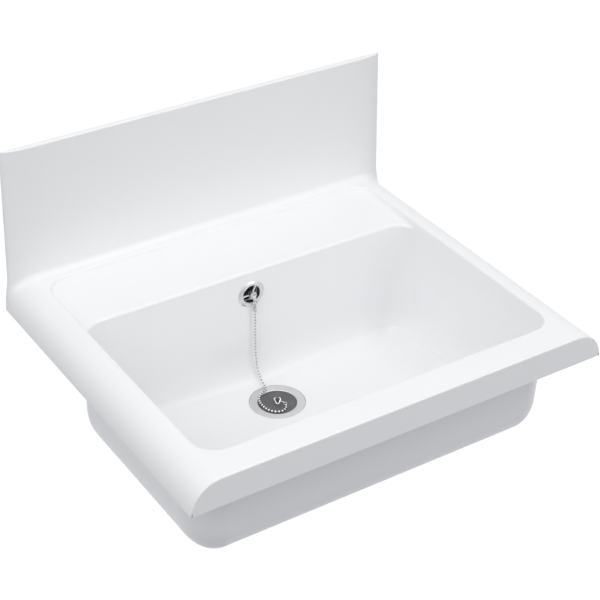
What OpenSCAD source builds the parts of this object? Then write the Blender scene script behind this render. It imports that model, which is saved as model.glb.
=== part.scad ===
// Wall-hung mop service sink: a one-piece cast body with a bowl, a sunken ledge
// and a splashback, its waste and overflow fittings, and a plug on a ball chain.
// The origin is on the wall plane, at mid width and at the height of the rim.
// +X runs to the right, +Y into the wall, +Z up. All sizes are in millimetres.

/* [Body] */
// Width over the rolled side edges
body_w = 550; // [540:2:570]
// Depth from the wall to the front face
body_d = 452; // [446:2:464]
// Radius of the rolled side edges, which is also the height of the front apron
roll_r = 37; // [34:1:40]
// Thickness of the rim, the apron and the rolled edges
shell_t = 8.5; // [7:0.5:9]
// Height of the splashback above the rim
splash_h = 176; // [120:2:220]
// Thickness of the splashback
splash_t = 8.5; // [7:0.5:10]
// Amount by which each side of the splashback leans in at its top
splash_taper = 5; // [0:1:10]
// Radius of the fillet at the foot of the splashback
foot_r = 9; // [6:1:12]

/* [Bowl] */
// Inside width of the bowl
bowl_w = 468.6; // [460:0.2:470]
// Width of the rim between the front face and the bowl
rim_front = 40.5; // [38:0.5:44]
// Distance of the bowl's back wall from the wall plane
bowl_back = 119.5; // [118.5:0.5:122]
// Depth of the bowl's floor at the front
floor_front = 160; // [157:1:162]
// Depth of the bowl's floor at the back
floor_back = 166.5; // [166:0.5:168]
// Corner radius of the bowl's opening
opening_r = 28; // [22:1:32]
// Fillet between the floor and the front and side walls
floor_r = 46; // [40:1:48]
// Fillet between the floor and the back wall
floor_back_r = 30; // [26:1:32]
// Slope of the front wall between its top and its foot
front_slope = 8; // [4:1:10]
// Width of the softened edge round the opening
edge_r = 3; // [2:0.5:4]
// Depth of the sunken ledge at its back
ledge_back_depth = 4.5; // [3:0.5:5]
// Depth of the sunken ledge where it meets the bowl
ledge_front_depth = 8; // [6:0.5:9]

/* [Fixing] */
// Distance between the two wall bolts
bolt_spacing = 280; // [260:10:300]
// Depth of the wall bolts below the rim
bolt_depth = 60; // [55:1:66]
// Bore of the fixing bushes, for a 10 mm stud
bush_bore = 10.5; // [10.5:0.5:11]

/* [Waste] */
// Distance of the drain from the wall plane
drain_back = 182; // [180:1:184]
// Outer diameter of the waste flange
flange_d = 71; // [68:1:72]
// Depth of the flange's face below the rim
flange_depth = 168.6; // [168.4:0.1:169]
// Outside diameter of the waste outlet's thread, G 1 1/2
outlet_d = 47.8; // [47:0.1:48]
// Depth of the outlet's end below the rim
outlet_depth = 250; // [244:1:270]
// Top diameter of the plug
plug_d = 48.4; // [47.6:0.2:48.6]

/* [Overflow] */
// Depth of the overflow's centre below the rim
overflow_depth = 41.5; // [40:0.5:44]
// Outer diameter of the overflow rosette
rosette_d = 37; // [35:1:39]
// Diameter of the overflow hole in the bowl's back wall
overflow_hole_d = 27; // [26:0.5:28]

/* [Chain] */
// Diameter of a chain ball
ball_d = 3.2; // [2.8:0.1:3.4]
// Distance from ball to ball
ball_pitch = 4.5; // [4.2:0.1:4.8]
// Diameter of the chain's pins
pin_d = 1; // [0.8:0.1:1.2]

/* [Hidden] */
$fn = 64;

half_w = body_w / 2;
flat_half = half_w - roll_r;            // half width of the flat part of the rim
bowl_half = bowl_w / 2;
bowl_front_y = rim_front - body_d;
bowl_wall = 8.7;                        // thickness of the bowl's side walls
bowl_back_wall = 11.5;                  // the back wall is thicker, for the overflow
bowl_floor_wall = 7;                    // at the back; the floor is a little thinner in front
hull_fn = 32;                           // facets of the shapes that are blended by a hull
clear = 0.1;                            // gap round pieces that sit in a hole
over = 1;                               // how far a cutting shape runs past the face it cuts
gap = 0.3;                              // gap between pieces that move on each other

// Drain: levels below the rim, and radii
drain_y = -drain_back;
flange_z = -flange_depth;
flange_t = 1;
seal_t = 1;
seat_z = flange_z - flange_t - seal_t;  // flat seat cast into the floor
seat_r = flange_d / 2 + 1;
drain_hole_r = 27;
boss_r = 44;
boss_z = -177;                          // flat underside of the drain boss
body_seal_t = 3;
waste_top_z = boss_z - body_seal_t;
inlet_z = -195;                         // axis of the waste body's overflow inlet
inlet_y = drain_y + 58;                 // end face of that inlet
inlet_r = 12;
cup_r = 33;
outlet_r = outlet_d / 2;
hub_top_z = -212;
hub_low_z = -226;

// Plug and its seat in the flange
plug_top_z = flange_z - 1;
plug_h = 12;
plug_r = plug_d / 2;
plug_low_r = plug_r - 1.8;
strainer_z = plug_top_z - plug_h - 2;   // top of the strainer bottom
strainer_t = 1;

// Wire link: a triangle whose base turns in the plug's lug
wire_r = 0.8;
link_axis_z = -163.2;
link_turn = -29;                        // direction of the base, seen from above
link_base = 9.4;
link_len = 10.6;
link_dip = 27;                          // slope at which the link leans on the plug
lug_w = 3.6;

// Overflow
overflow_z = -overflow_depth;
wall_y = -bowl_back;                    // inner face of the bowl's back wall
wall_back_y = wall_y + bowl_back_wall;  // outer face of it
hub_face_y = wall_y - 4.5;              // face of the rosette's hub
stay_t = 0.8;
stay_y = hub_face_y - stay_t / 2;
eye = [2.6, stay_y, overflow_z - 10.1]; // hole of the chain stay
elbow_seal_t = 3;
elbow_y = wall_back_y + elbow_seal_t;
elbow_len = 57;
elbow_r = 17;
spout_y = -66;                          // axis of the elbow's outlet
spout_r = 12;
spout_z = -80;                          // end face of that outlet

// Hose from the elbow's outlet to the waste body's inlet
hose_seal_t = 2;
hose_bend_r = 45;
hose_crest_r = 11.4;
hose_valley_r = 10;
hose_bore_r = 8;
hose_top_z = spout_z - hose_seal_t;
hose_bend_z = inlet_z + hose_bend_r;
hose_bend_y = spout_y - hose_bend_r;
hose_end_y = inlet_y + hose_seal_t;

// Ball chain: points along its middle, from the clasp down to the flange, round on the
// plug, and up to the end coupling
hang_route = [[2.6, -124.4, -67], [2.6, -124.6, -90], [2.6, -125, -110], [2.6, -126, -130],
    [2.6, -128.5, -146], [2.6, -133, -156], [2.8, -139, -162], [2.8, -146, -165.2],
    [2.4, -152, -166.8], [-2, -156, -166.8], [-7.5, -157.4, -166.8]];
plug_route = [[-11.5, -159.8, -166.8], [-14.8, -163, -167.1], [-17.8, -167.1, -167.7],
    [-19.5, -171.6, -167.9], [-20.4, -176.5, -167.9], [-20.6, -181.4, -167.9],
    [-20.2, -186.3, -167.9], [-19.1, -191.1, -167.9], [-16.8, -195.1, -167.9],
    [-13.6, -198.6, -167.9], [-10, -201, -167.9]];
tail_route = [[-5.8, -202.2, -167.9], [-1.4, -201.2, -167.9], [2.4, -198.6, -167.9],
    [4.6, -194.8, -167.9]];

// Points of a quarter circle, from angle a to angle b
function arc(centre, r, a, b, steps) =
    [for (i = [0:steps]) centre + r * [cos(a + (b - a) * i / steps), sin(a + (b - a) * i / steps)]];

// Length of a route up to its point i, and the point that lies s along it
function run(route, i) = i == 0 ? 0 : run(route, i - 1) + norm(route[i] - route[i - 1]);
function along(route, s, i = 1) =
    i >= len(route) - 1 || s <= run(route, i)
        ? route[i - 1] + (route[i] - route[i - 1]) * (s - run(route, i - 1)) / norm(route[i] - route[i - 1])
        : along(route, s, i + 1);

// Tube swept along points that lie in one plane; radii holds the radius at each point
module swept(points, radii, normal, sides) {
    last = len(points) - 1;
    rings = [for (i = [0:last])
        let (ahead = points[min(i + 1, last)] - points[max(i - 1, 0)])
        let (across = cross(normal, ahead) / norm(cross(normal, ahead)))
        for (k = [0:sides - 1])
            points[i] + radii[i] * (cos(360 * k / sides) * across + sin(360 * k / sides) * normal)];
    faces = concat(
        [[for (k = [0:sides - 1]) k]],
        [for (i = [0:last - 1]) for (k = [0:sides - 1])
            [i * sides + k, (i + 1) * sides + k, (i + 1) * sides + (k + 1) % sides, i * sides + (k + 1) % sides]],
        [[for (k = [0:sides - 1]) (last + 1) * sides - 1 - k]]);
    polyhedron(rings, faces, convexity = 6);
}

// Turns a shape that stands along Z so that it points along d
module point_along(d) {
    rotate([0, acos(d.z / norm(d)), atan2(d.y, d.x)]) children();
}

// Round bar between two points
module bar(p, q, r) {
    translate(p) point_along(q - p) cylinder(r = r, h = norm(q - p));
}

// ---- Cast body -------------------------------------------------------------

// Section of the rim across the width, rolled over at both sides
module rim_section(inset) {
    r = roll_r - inset;
    intersection() {
        union() {
            for (side = [-1, 1]) translate([side * flat_half, -roll_r]) circle(r = r);
            translate([-flat_half, -roll_r]) square([2 * flat_half, r]);
        }
        translate([-half_w, -roll_r]) square([2 * half_w, roll_r]);
    }
}

// Rim with its front apron and rolled side edges, hollow underneath
module rim() {
    open_below = 20;
    difference() {
        rotate([90, 0, 0]) linear_extrude(height = body_d) rim_section(0);
        translate([0, -shell_t, 0]) rotate([90, 0, 0]) linear_extrude(height = body_d - 2 * shell_t) {
            rim_section(shell_t);
            translate([shell_t - half_w, -roll_r - open_below])
                square([2 * (half_w - shell_t), open_below + clear]);
        }
    }
}

// Outline of the splashback seen from above: flat in front, rolled back at both ends
module splash_outline(lean) {
    edge_t = 1;
    steps = 10;
    polygon(concat(
        [for (i = [0:steps]) let (a = 90 * i / steps)
            [flat_half - lean + roll_r * cos(a), -edge_t - (splash_t - edge_t) * sin(a)]],
        [for (i = [0:steps]) let (a = 90 + 90 * i / steps)
            [lean - flat_half + roll_r * cos(a), -edge_t - (splash_t - edge_t) * sin(a)]],
        [[lean - half_w, 0], [half_w - lean, 0]]));
}

module splashback() {
    slice = 0.5;
    hull() {
        translate([0, 0, -roll_r]) linear_extrude(height = slice) splash_outline(0);
        translate([0, 0, splash_h - slice]) linear_extrude(height = slice) splash_outline(splash_taper);
    }
}

// Hollow fillet at the foot of the splashback; it fades out over the rolled edges
module foot_fillet() {
    root = 1;
    sink_in = 0.15;
    steps = 6;
    fade = 80;
    angles = [for (a = [72:-6:0]) a];
    stations = concat([for (a = angles) [-1, a]], [for (i = [1:len(angles)]) [1, angles[len(angles) - i]]]);
    count = steps + 2;
    points = [for (s = stations)
        let (a = s[1], share = (cos(a) - cos(fade)) / (1 - cos(fade)))
        let (x = s[0] * (flat_half + roll_r * sin(a)), r = foot_r * share + 0.4)
        let (y = -1 - (splash_t - 1) * cos(a) + sink_in, z = -roll_r * (1 - cos(a)) - sink_in)
        for (p = concat([[y + root, z - root]], arc([y - r, z + r], r, 0, -90, steps)))
            [x, p[0], p[1]]];
    faces = concat(
        [[for (k = [0:count - 1]) k]],
        [for (i = [0:len(stations) - 2]) for (k = [0:count - 1])
            [i * count + k, (i + 1) * count + k, (i + 1) * count + (k + 1) % count, i * count + (k + 1) % count]],
        [[for (k = [0:count - 1]) len(stations) * count - 1 - k]]);
    polyhedron(points, faces, convexity = 4);
}

// One end of the bowl's outline at its opening, mirrored across the width
module opening_corners(half, edge_y, inward, r, z) {
    for (side = [-1, 1]) translate([side * (half - r), edge_y + inward * r, z])
        cylinder(r = r, h = 1, $fn = hull_fn);
}

// Lower corners of one end: egg-shaped, so that the fillets of the side wall, the end wall
// and the floor may differ; radii holds them in that order
module floor_corners(half, edge_y, inward, radii, z) {
    for (side = [-1, 1]) translate([side * (half - radii.x), edge_y + inward * radii.y, z + radii.z])
        scale(radii) rotate_extrude($fn = hull_fn) intersection() {
            circle(r = 1, $fn = hull_fn);
            translate([0, -1]) square(1);
        }
}

// Hollow of the bowl, and the same hollow a little lower for the drain's dish
module bowl_hollow(lower) {
    hull() {
        opening_corners(bowl_half, bowl_front_y, 1, opening_r, over - 1);
        opening_corners(bowl_half, wall_y, -1, opening_r, over - 1);
        floor_corners(bowl_half, bowl_front_y + front_slope, 1, [floor_r, floor_r, floor_r], -floor_front - lower);
        floor_corners(bowl_half, wall_y, -1, [floor_r, floor_back_r, 44], -floor_back - lower);
    }
}

// Outside of the bowl; its lower corners are fuller than those of the hollow
module bowl_outside() {
    half = bowl_half + bowl_wall;
    front = bowl_front_y - 8;
    foot_half = half - 0.5;
    front_z = -floor_front - 6;
    back_z = -floor_back - bowl_floor_wall;
    hull() {
        opening_corners(half, front, 1, opening_r + 18, -6);
        opening_corners(half, wall_back_y, -1, opening_r + 22, -6);
        floor_corners(foot_half, front + 6.5, 1, [39, 52, 57], front_z);
        floor_corners(foot_half, wall_back_y - 2, -1, [52, 40, 62], back_z);
    }
}

// The floor falls to the drain in a shallow cone that runs out into the fillets
module drain_dish() {
    fall = 0.0736;
    reach = 45;
    intersection() {
        translate([0, drain_y, flange_z + 0.2]) cylinder(r1 = seat_r, r2 = seat_r + reach / fall, h = reach);
        bowl_hollow(3.5);
    }
}

// Soft edge round the bowl's opening
module opening_edge() {
    hull() for (side = [-1, 1], y = [bowl_front_y + opening_r, wall_y - opening_r])
        translate([side * (bowl_half - opening_r), y, -edge_r])
            cylinder(r1 = opening_r, r2 = opening_r + edge_r + over, h = edge_r + over, $fn = hull_fn);
}

// Sunken ledge behind the bowl, level with the soft edge at its sides
module ledge_hollow() {
    ledge_r = 28;
    top_half = bowl_half + edge_r;
    back_y = -23;
    front_y = wall_y - 30;
    low_r = ledge_r - 4;
    front_depth = ledge_front_depth + 1;
    hull() for (side = [-1, 1]) {
        translate([side * (top_half - ledge_r), back_y - ledge_r, -ledge_back_depth])
            cylinder(r1 = low_r, r2 = ledge_r + over, h = ledge_back_depth + over, $fn = hull_fn);
        translate([side * (top_half - ledge_r), front_y, -front_depth])
            cylinder(r1 = low_r, r2 = ledge_r + over, h = front_depth + over, $fn = hull_fn);
    }
}

// Rear web that the wall bolts pass through, with a rib to the bowl at each end
module fixing_web() {
    web_half = 172;
    web_t = 10;
    web_z = -95;
    rib_t = 8;
    translate([-web_half, -web_t, web_z]) cube([2 * web_half, web_t, -web_z - 5]);
    for (side = [-1, 1]) {
        translate([side * bolt_spacing / 2, 0, -bolt_depth]) rotate([90, 0, 0]) cylinder(r = 16, h = 16);
        translate([side * (web_half - rib_t / 2), 0, 0]) rotate([90, 0, -90]) translate([0, 0, -rib_t / 2])
            linear_extrude(height = rib_t) polygon([[2, -5], [-wall_back_y + 2, -5],
                [-wall_back_y + 2, -60], [2, web_z + 3]]);
    }
}

module sink_body() {
    color("white") difference() {
        union() {
            rim();
            splashback();
            foot_fillet();
            translate([-flat_half, wall_y, -ledge_front_depth - shell_t])
                cube([2 * flat_half, bowl_back - shell_t + clear, shell_t + ledge_back_depth]);
            bowl_outside();
            translate([0, drain_y, boss_z]) cylinder(r = boss_r, h = 14);
            fixing_web();
        }
        bowl_hollow(0);
        drain_dish();
        opening_edge();
        ledge_hollow();
        translate([0, drain_y, seat_z]) cylinder(r = seat_r, h = 8);
        translate([0, drain_y, boss_z - over]) cylinder(r = drain_hole_r, h = 20);
        translate([0, wall_back_y + over, overflow_z]) rotate([90, 0, 0])
            cylinder(d = overflow_hole_d, h = bowl_back_wall + 2 * over);
        for (side = [-1, 1]) translate([side * bolt_spacing / 2, over, -bolt_depth]) rotate([90, 0, 0])
            cylinder(r = 7, h = 16 + 2 * over);
    }
}

// Flanged bushes that keep the studs off the cast body
module fixing_bushes() {
    flange_h = 2.5;
    color("gainsboro") for (side = [-1, 1])
        translate([side * bolt_spacing / 2, -0.5, -bolt_depth]) rotate([90, 0, 0]) difference() {
            union() {
                cylinder(r = 7 - clear, h = 15.5);
                translate([0, 0, 15.5]) cylinder(r = 13, h = flange_h);
            }
            translate([0, 0, -over]) cylinder(d = bush_bore, h = 15.5 + flange_h + 2 * over);
        }
}

// ---- Waste -----------------------------------------------------------------

// Pressed steel flange: a flat ring, a tapered seat for the plug and a slotted bottom
module waste_flange() {
    ring_r = flange_d / 2;
    seat_top_r = plug_r + gap;
    seat_low_r = plug_low_r + gap - 0.1;
    skin = 1;
    slots = 6;
    color("silver") translate([0, drain_y, 0]) difference() {
        rotate_extrude() polygon(concat(
            [[0, strainer_z - strainer_t], [seat_low_r + skin - 1, strainer_z - strainer_t],
                [seat_low_r + skin, strainer_z - strainer_t + 1], [seat_top_r + skin, flange_z - flange_t],
                [ring_r, flange_z - flange_t], [ring_r, flange_z - 0.4], [ring_r - 0.4, flange_z]],
            arc([seat_top_r + 1.2, flange_z - 1.2], 1.2, 90, 180, 4),
            [[seat_low_r, strainer_z + 1], [seat_low_r - 1, strainer_z], [0, strainer_z]]));
        translate([0, 0, strainer_z - strainer_t - over]) cylinder(r = 3.3, h = strainer_t + 2 * over);
        for (i = [0:slots - 1]) rotate(i * 360 / slots) translate([0, 0, strainer_z - strainer_t - over])
            rotate_extrude(angle = 42) translate([9, 0]) square([11, strainer_t + 2 * over]);
    }
}

module flange_seal() {
    color("dimgray") translate([0, drain_y, seat_z]) difference() {
        cylinder(r = flange_d / 2 - 1, h = seal_t);
        translate([0, 0, -over]) cylinder(r = drain_hole_r + 0.5, h = seal_t + 2 * over);
    }
}

// Oval-head screw that draws the flange and the waste body together
module waste_screw() {
    head_z = strainer_z;
    slot_w = 1.4;
    color("silver") translate([0, drain_y, 0]) difference() {
        union() {
            translate([0, 0, head_z]) rotate_extrude() polygon([[0, 0], [6, 0], [6, 0.5], [4.5, 1.1], [2.4, 1.5], [0, 1.6]]);
            translate([0, 0, hub_low_z + 1]) cylinder(r = 3, h = head_z - hub_low_z - 0.8);
        }
        translate([-7, -slot_w / 2, head_z + 0.7]) cube([14, slot_w, 2]);
    }
}

module body_seal() {
    color("dimgray") translate([0, drain_y, boss_z - body_seal_t]) difference() {
        cylinder(r = 36, h = body_seal_t);
        translate([0, 0, -over]) cylinder(r = drain_hole_r + 1, h = body_seal_t + 2 * over);
    }
}

// Moulded waste body: a cup with a side inlet, a ribbed hub and a threaded outlet
module waste_body() {
    wall_t = 3.5;
    low_z = -outlet_depth;
    neck_z = inlet_z - 21;
    color("whitesmoke") difference() {
        union() {
            translate([0, drain_y, 0]) rotate_extrude() polygon([[29.5, waste_top_z], [37, waste_top_z],
                [37, waste_top_z - 4], [cup_r, waste_top_z - 6], [cup_r, inlet_z - 13], [outlet_r, neck_z],
                [outlet_r, low_z], [outlet_r - wall_t, low_z], [outlet_r - wall_t, neck_z + 2],
                [cup_r - wall_t, inlet_z - 11]]);
            translate([0, drain_y, hub_low_z]) cylinder(r = 7, h = hub_top_z - hub_low_z);
            for (a = [30, 150, 270]) translate([0, drain_y, hub_low_z + 1]) rotate(a) translate([5, -1.5, 0])
                cube([outlet_r - wall_t / 2 - 5, 3, 10]);
            translate([0, drain_y + cup_r - wall_t + 0.5, inlet_z]) rotate([-90, 0, 0])
                cylinder(r = inlet_r, h = inlet_y - drain_y - cup_r + wall_t - 0.5);
        }
        translate([0, drain_y + cup_r - wall_t - 4, inlet_z]) rotate([-90, 0, 0]) cylinder(r = inlet_r - 3, h = 50);
        translate([0, drain_y, hub_low_z - over]) cylinder(r = 3.4, h = 30);
        translate([0, drain_y, hub_low_z - over]) cylinder(r = 5.2, h = 8 + over, $fn = 6);
    }
}

module waste_insert() {
    color("goldenrod") translate([0, drain_y, hub_low_z]) difference() {
        cylinder(r = 5.1, h = 7.9, $fn = 6);
        translate([0, 0, -over]) cylinder(r = 3.05, h = 10);
    }
}

// ---- Overflow --------------------------------------------------------------

// Puts a shape that is turned about Z onto the overflow's axis, pointing into the bowl
module on_overflow(y) {
    translate([0, y, overflow_z]) rotate([90, 0, 0]) children();
}

// Chrome cover: a domed ring and three spokes round a hub
module overflow_rosette() {
    ring_r = rosette_d / 2;
    open_r = 12;
    collar_r = overflow_hole_d / 2 - 0.2;
    hub_h = wall_y - hub_face_y;
    color("silver") on_overflow(wall_y) difference() {
        union() {
            rotate_extrude() polygon([[open_r, -5], [collar_r, -5], [collar_r, 0], [ring_r, 0], [ring_r, 0.5],
                [ring_r - 1, 1.3], [ring_r - 2.6, 2], [ring_r - 4.2, 2.1], [open_r + 0.6, 1.5], [open_r, 0.9]]);
            cylinder(r = 5.2, h = hub_h);
            for (a = [63, 183, 303]) rotate(a) translate([4, -1.2, -1.2]) cube([open_r - 3, 2.4, 2.4]);
        }
        translate([0, 0, -over]) cylinder(r = 2.6, h = hub_h + 2 * over);
    }
}

module overflow_screw() {
    shank = 41;
    color("silver") on_overflow(hub_face_y - stay_t) difference() {
        union() {
            rotate_extrude() polygon([[0, 0], [4.6, 0], [4.6, 0.6], [3.6, 1.5], [2, 2.1], [0, 2.3]]);
            translate([0, 0, -shank]) cylinder(r = 2.5, h = shank + 0.1);
        }
        translate([-6, -0.6, 1.1]) cube([12, 1.2, 3]);
    }
}

// Tab under the screw's head, with an eye for the chain's clasp
module chain_stay() {
    tab = [eye.x, eye.z - overflow_z];
    color("silver") on_overflow(hub_face_y) difference() {
        union() {
            cylinder(r = 4.2, h = stay_t);
            translate([tab.x, tab.y, 0]) cylinder(r = 3.3, h = stay_t);
            rotate(atan2(tab.y, tab.x)) translate([0, -2, 0]) cube([norm(tab), 4, stay_t]);
        }
        translate([0, 0, -over]) cylinder(r = 2.6, h = stay_t + 2 * over);
        translate([tab.x, tab.y, -over]) cylinder(r = 1.7, h = stay_t + 2 * over);
    }
}

module overflow_seal() {
    color("dimgray") on_overflow(elbow_y) difference() {
        cylinder(r = 21, h = elbow_seal_t);
        translate([0, 0, -over]) cylinder(r = 14, h = elbow_seal_t + 2 * over);
    }
}

// Housing behind the overflow hole; a hub on three ribs carries the brass nut
module overflow_elbow() {
    bore_r = elbow_r - 3;
    end_t = 3;
    hub_len = 12;
    color("dimgray") difference() {
        union() {
            difference() {
                union() {
                    on_overflow(elbow_y + elbow_len) cylinder(r = elbow_r, h = elbow_len);
                    on_overflow(elbow_y + 3) cylinder(r = 21, h = 3);
                    translate([0, spout_y, spout_z]) cylinder(r = spout_r, h = overflow_z - spout_z);
                }
                on_overflow(elbow_y + elbow_len - end_t) cylinder(r = bore_r, h = elbow_len);
                translate([0, spout_y, spout_z - over]) cylinder(r = spout_r - 3, h = overflow_z - spout_z);
            }
            on_overflow(elbow_y + 20) cylinder(r = 6, h = hub_len);
            on_overflow(elbow_y + 20) for (a = [90, 210, 330]) rotate(a) translate([4, -1.25, 0])
                cube([bore_r - 3, 2.5, 8]);
        }
        on_overflow(elbow_y + 20 + over) cylinder(r = 2.8, h = hub_len + 2 * over);
        on_overflow(elbow_y + 20 + over) cylinder(r = 4.7, h = 6 + over, $fn = 6);
    }
}

module overflow_insert() {
    color("goldenrod") on_overflow(elbow_y + 20) difference() {
        cylinder(r = 4.6, h = 5.9, $fn = 6);
        translate([0, 0, -over]) cylinder(r = 2.55, h = 8);
    }
}

// Corrugated hose: down from the elbow, round a quarter bend and into the waste body
module overflow_hose() {
    cuff = 12;
    wave = 4.4;
    down = hose_top_z - hose_bend_z;
    bend = PI / 2 * hose_bend_r;
    level = hose_bend_y - hose_end_y;
    total = down + bend + level;
    function spot(s) = s <= down ? [0, spout_y, hose_top_z - s]
        : s <= down + bend
            ? [0, hose_bend_y + hose_bend_r * cos((s - down) / hose_bend_r * 180 / PI),
                hose_bend_z - hose_bend_r * sin((s - down) / hose_bend_r * 180 / PI)]
            : [0, hose_bend_y - (s - down - bend), inlet_z];
    waves = floor((total - 2 * cuff) / wave);
    stops = concat([0, cuff], [for (i = [1:2 * waves]) cuff + (total - 2 * cuff) * i / (2 * waves + 1)],
        [total - cuff, total]);
    radii = concat([hose_crest_r, hose_crest_r], [for (i = [1:2 * waves]) i % 2 == 1 ? hose_valley_r : hose_crest_r],
        [hose_crest_r, hose_crest_r]);
    bore_stops = [for (i = [0:24]) -over + (total + 2 * over) * i / 24];
    color("gainsboro") difference() {
        swept([for (s = stops) spot(s)], radii, [1, 0, 0], 16);
        swept([for (s = bore_stops) spot(s)], [for (s = bore_stops) hose_bore_r], [1, 0, 0], 16);
    }
}

// Eight-sided union nut that slips over both ends of a hose joint
module hose_nut() {
    difference() {
        union() {
            translate([0, 0, -8]) cylinder(r = 17, h = 12, $fn = 8);
            translate([0, 0, 4]) cylinder(r1 = 15.4, r2 = 14, h = 4);
        }
        translate([0, 0, -8 - over]) cylinder(r = spout_r + 0.2, h = 16 + 2 * over);
    }
}

module hose_nut_upper() {
    color("whitesmoke") translate([0, spout_y, spout_z]) mirror([0, 0, 1]) hose_nut();
}

module hose_nut_lower() {
    color("whitesmoke") translate([0, inlet_y, inlet_z]) rotate([-90, 0, 0]) hose_nut();
}

module hose_seals() {
    color("dimgray") {
        translate([0, spout_y, hose_top_z]) hose_seal();
        translate([0, inlet_y, inlet_z]) rotate([-90, 0, 0]) hose_seal();
    }
}

module hose_seal() {
    slack = 0.05;
    difference() {
        translate([0, 0, slack]) cylinder(r = spout_r, h = hose_seal_t - 2 * slack);
        translate([0, 0, -over]) cylinder(r = spout_r - 3, h = hose_seal_t + 2 * over);
    }
}

// ---- Plug and chain --------------------------------------------------------

// Frame of the wire link: origin on its hinge axis, X along the base, Y towards the tip
module on_link() {
    translate([0.4, drain_y + 0.8, link_axis_z]) rotate([0, 0, link_turn + 180]) rotate([-link_dip, 0, 0])
        children();
}

// Tapered rubber plug, hollow underneath, with a lug for the link
module plug() {
    low_z = plug_top_z - plug_h;
    color("dimgray") difference() {
        union() {
            translate([0, drain_y, 0]) rotate_extrude() polygon([[0, plug_top_z], [plug_r - 0.8, plug_top_z],
                [plug_r, plug_top_z - 0.8], [plug_low_r, low_z + 1], [plug_low_r - 1, low_z], [16, low_z],
                [14, low_z + 7], [0, low_z + 7]]);
            translate([0.4, drain_y + 0.8, link_axis_z]) rotate([0, 0, link_turn]) {
                translate([-lug_w / 2, 0, 0]) rotate([0, 90, 0]) cylinder(r = 2.4, h = lug_w);
                translate([-lug_w / 2, -2.4, plug_top_z - link_axis_z - 1]) cube([lug_w, 4.8, link_axis_z - plug_top_z + 1]);
            }
        }
        on_link() translate([-link_base, 0, 0]) rotate([0, 90, 0]) cylinder(r = wire_r + 0.08, h = 2 * link_base);
    }
}

// Bent wire triangle: a straight base in the lug, and two sides that meet in a round tip
module plug_link() {
    corner = 1.6;
    half = link_base / 2;
    side_a = atan2(link_len, half);
    tip = [0, link_len];
    base_corner = [half - corner / tan(side_a / 2), corner];
    tip_c = [0, link_len - corner / sin(90 - side_a)];
    right = concat(arc(base_corner, corner, -90, 90 - side_a, 5), arc(tip_c, corner, 90 - side_a, 90, 3));
    left = [for (i = [2:len(right)]) let (p = right[len(right) - i]) [-p.x, p.y]];
    loop = [for (p = concat(right, left)) [p.x, p.y, 0]];
    color("silver") on_link() {
        swept(loop, [for (p = loop) wire_r], [0, 0, 1], 12);
        translate([-base_corner.x, 0, 0]) rotate([0, 90, 0]) cylinder(r = wire_r, h = 2 * base_corner.x);
    }
}

// End coupling: a sleeve that turns on the link's side, a strap and a ring for the chain
module end_coupling() {
    ring = [6.3, -190.3, -168.2];
    ring_r = 2.2;
    wire_in = [4.5, -183.5, -163.2];
    wire_dir = [-0.75, -0.517, -0.412];
    grip = wire_in + 4.2 * wire_dir;
    reach = ring - grip;
    color("silver") {
        difference() {
            bar(grip - 0.7 * wire_dir, grip + 0.7 * wire_dir, wire_r + 0.6);
            bar(grip - 2 * wire_dir, grip + 2 * wire_dir, wire_r + 0.06);
        }
        difference() {
            bar(grip, ring - reach * ring_r / norm(reach), 0.6);
            bar(grip - 2 * wire_dir, grip + 2 * wire_dir, wire_r + 0.3);
        }
        translate(ring) rotate_extrude() translate([ring_r, 0]) circle(r = 0.55, $fn = 16);
    }
}

// Bell clasp at the chain's top: a loop through the stay's eye and a bell round the first ball
module top_clasp() {
    loop_r = 2.2;
    loop_z = eye.z - loop_r;
    bell_z = loop_z - loop_r - 0.3;
    color("silver") {
        translate([eye.x, stay_y, loop_z]) rotate([0, 90, 0]) rotate_extrude() translate([loop_r, 0])
            circle(r = 0.55, $fn = 16);
        translate([eye.x, stay_y, bell_z]) rotate_extrude()
            polygon([[0, 0.4], [0.9, 0.3], [1.3, -1], [1.9, -4], [2.1, -8.5], [1.2, -8.5], [1, -4], [0, -3.6]]);
    }
}

// Hollow ball, drawn solid, with the flat that the pin comes out of at each end
module chain_ball() {
    flat_h = ball_d * 0.45;
    rotate_extrude($fn = 24) intersection() {
        circle(d = ball_d, $fn = 24);
        translate([0, -flat_h]) square([ball_d, 2 * flat_h]);
    }
}

// Balls at an even pitch along a route, with a pin from each to the next
module ball_chain(route) {
    total = run(route, len(route) - 1);
    balls = max(2, round(total / ball_pitch) + 1);
    step = total / (balls - 1);
    spots = [for (i = [0:balls - 1]) along(route, min(i * step, total - 0.001))];
    for (i = [0:balls - 2]) translate(spots[i]) point_along(spots[i + 1] - spots[i]) {
        chain_ball();
        cylinder(d = pin_d, h = norm(spots[i + 1] - spots[i]), $fn = 16);
    }
    translate(spots[balls - 1]) point_along(spots[balls - 1] - spots[balls - 2]) chain_ball();
}

module chain_hanging() { color("silver") ball_chain(hang_route); }
module chain_on_plug() { color("silver") ball_chain(plug_route); }
module chain_tail() { color("silver") ball_chain(tail_route); }

sink_body();
fixing_bushes();
waste_flange();
flange_seal();
waste_screw();
body_seal();
waste_body();
waste_insert();
overflow_rosette();
overflow_screw();
chain_stay();
overflow_seal();
overflow_elbow();
overflow_insert();
overflow_hose();
hose_nut_upper();
hose_nut_lower();
hose_seals();
plug();
plug_link();
end_coupling();
top_clasp();
chain_hanging();
chain_on_plug();
chain_tail();
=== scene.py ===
# A wall-hung mop service sink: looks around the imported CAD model, in its frame.
# The wall is the plane y = 0, the rim is at z = 0, and the front faces -Y. The chain's
# routes and the sizes of body, thread, hose and link are in millimetres, others in metres.
import math

import bpy
from mathutils import Matrix, Vector


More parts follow.
